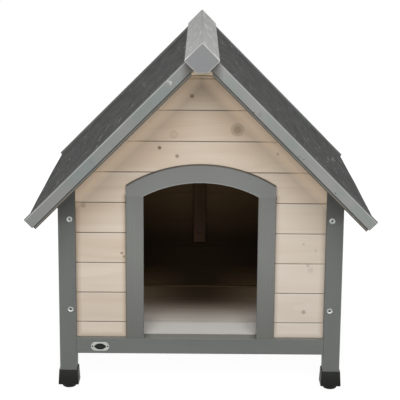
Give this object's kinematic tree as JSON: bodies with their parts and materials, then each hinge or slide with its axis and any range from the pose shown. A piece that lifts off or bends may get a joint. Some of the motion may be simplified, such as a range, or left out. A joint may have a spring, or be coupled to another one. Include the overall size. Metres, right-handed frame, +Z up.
{
  "type": "dog kennel",
  "caption": "Raised timber dog kennel with an arched doorway, matched-board walls, a felted saddle roof on an exposed ridge beam, a lift-out floor and levelling feet.",
  "frame": {"origin": "centre of the footprint at ground level, under the middle of the kennel", "axes": "+Z up, the doorway looks towards -Y, +X is on the right of someone who looks at the doorway; the ridge runs along Y"},
  "size_m": [0.71, 0.76, 0.77],
  "materials": {
    "grey_stained_pine": "matte",
    "whitewashed_pine": "matte",
    "plain_pine": "matte",
    "roofing_felt": "matte",
    "black_plastic": "satin",
    "zinc_plated_steel": "satin",
    "badge_metal": "satin"
  },
  "bodies": {
    "kennel": {"badge_plate": "badge_metal", "badge_tacks": "zinc_plated_steel", "bottom_rail_front": "grey_stained_pine", "bottom_rail_left": "grey_stained_pine", "bottom_rail_rear": "grey_stained_pine", "bottom_rail_right": "grey_stained_pine", "door_head": "grey_stained_pine", "door_jamb_left": "grey_stained_pine", "door_jamb_right": "grey_stained_pine", "floor_bearer_front": "plain_pine", "floor_bearer_rear": "plain_pine", "foot_cap_front_left": "black_plastic", "foot_cap_front_right": "black_plastic", "foot_cap_rear_left": "black_plastic", "foot_cap_rear_right": "black_plastic", "front_arch_board": "whitewashed_pine", "front_boards_left": "whitewashed_pine", "front_boards_right": "whitewashed_pine", "front_gable_boards": "whitewashed_pine", "gable_batten_front": "plain_pine", "gable_batten_rear": "plain_pine", "gable_cleat_front_left": "plain_pine", "gable_cleat_front_right": "plain_pine", "gable_cleat_rear_left": "plain_pine", "gable_cleat_rear_right": "plain_pine", "leg_bolts": "zinc_plated_steel", "leg_front_left": "grey_stained_pine", "leg_front_right": "grey_stained_pine", "leg_rear_left": "grey_stained_pine", "leg_rear_right": "grey_stained_pine", "rafter_front_left": "grey_stained_pine", "rafter_front_right": "grey_stained_pine", "rafter_rear_left": "grey_stained_pine", "rafter_rear_right": "grey_stained_pine", "rear_wall_boards": "whitewashed_pine", "ridge_beam": "grey_stained_pine", "ridge_plate": "plain_pine", "roof_boards_left": "plain_pine", "roof_boards_right": "plain_pine", "roof_felt_left": "roofing_felt", "roof_felt_right": "roofing_felt", "side_boards_left": "whitewashed_pine", "side_boards_right": "whitewashed_pine", "top_rail_left": "plain_pine", "top_rail_right": "plain_pine", "verge_board_front_left": "grey_stained_pine", "verge_board_front_right": "grey_stained_pine", "verge_board_rear_left": "grey_stained_pine", "verge_board_rear_right": "grey_stained_pine", "wall_stiles_left": "plain_pine", "wall_stiles_right": "plain_pine"},
    "foot_front_left": {"levelling_foot_front_left": "black_plastic"},
    "foot_front_right": {"levelling_foot_front_right": "black_plastic"},
    "foot_rear_left": {"levelling_foot_rear_left": "black_plastic"},
    "foot_rear_right": {"levelling_foot_rear_right": "black_plastic"},
    "floor_panel": {"floor_boards": "plain_pine", "floor_battens": "plain_pine"}
  },
  "joints": [
    {"name": "floor_lift", "type": "slide", "parent": "kennel", "child": "floor_panel", "axis": [0, 0, 1], "range_m": [0, 0.08]},
    {"name": "level_front_left", "type": "slide", "parent": "kennel", "child": "foot_front_left", "axis": [0, 0, -1], "range_m": [0, 0.012]},
    {"name": "level_front_right", "type": "slide", "parent": "kennel", "child": "foot_front_right", "axis": [0, 0, -1], "range_m": [0, 0.012]},
    {"name": "level_rear_left", "type": "slide", "parent": "kennel", "child": "foot_rear_left", "axis": [0, 0, -1], "range_m": [0, 0.012]},
    {"name": "level_rear_right", "type": "slide", "parent": "kennel", "child": "foot_rear_right", "axis": [0, 0, -1], "range_m": [0, 0.012]}
  ]
}
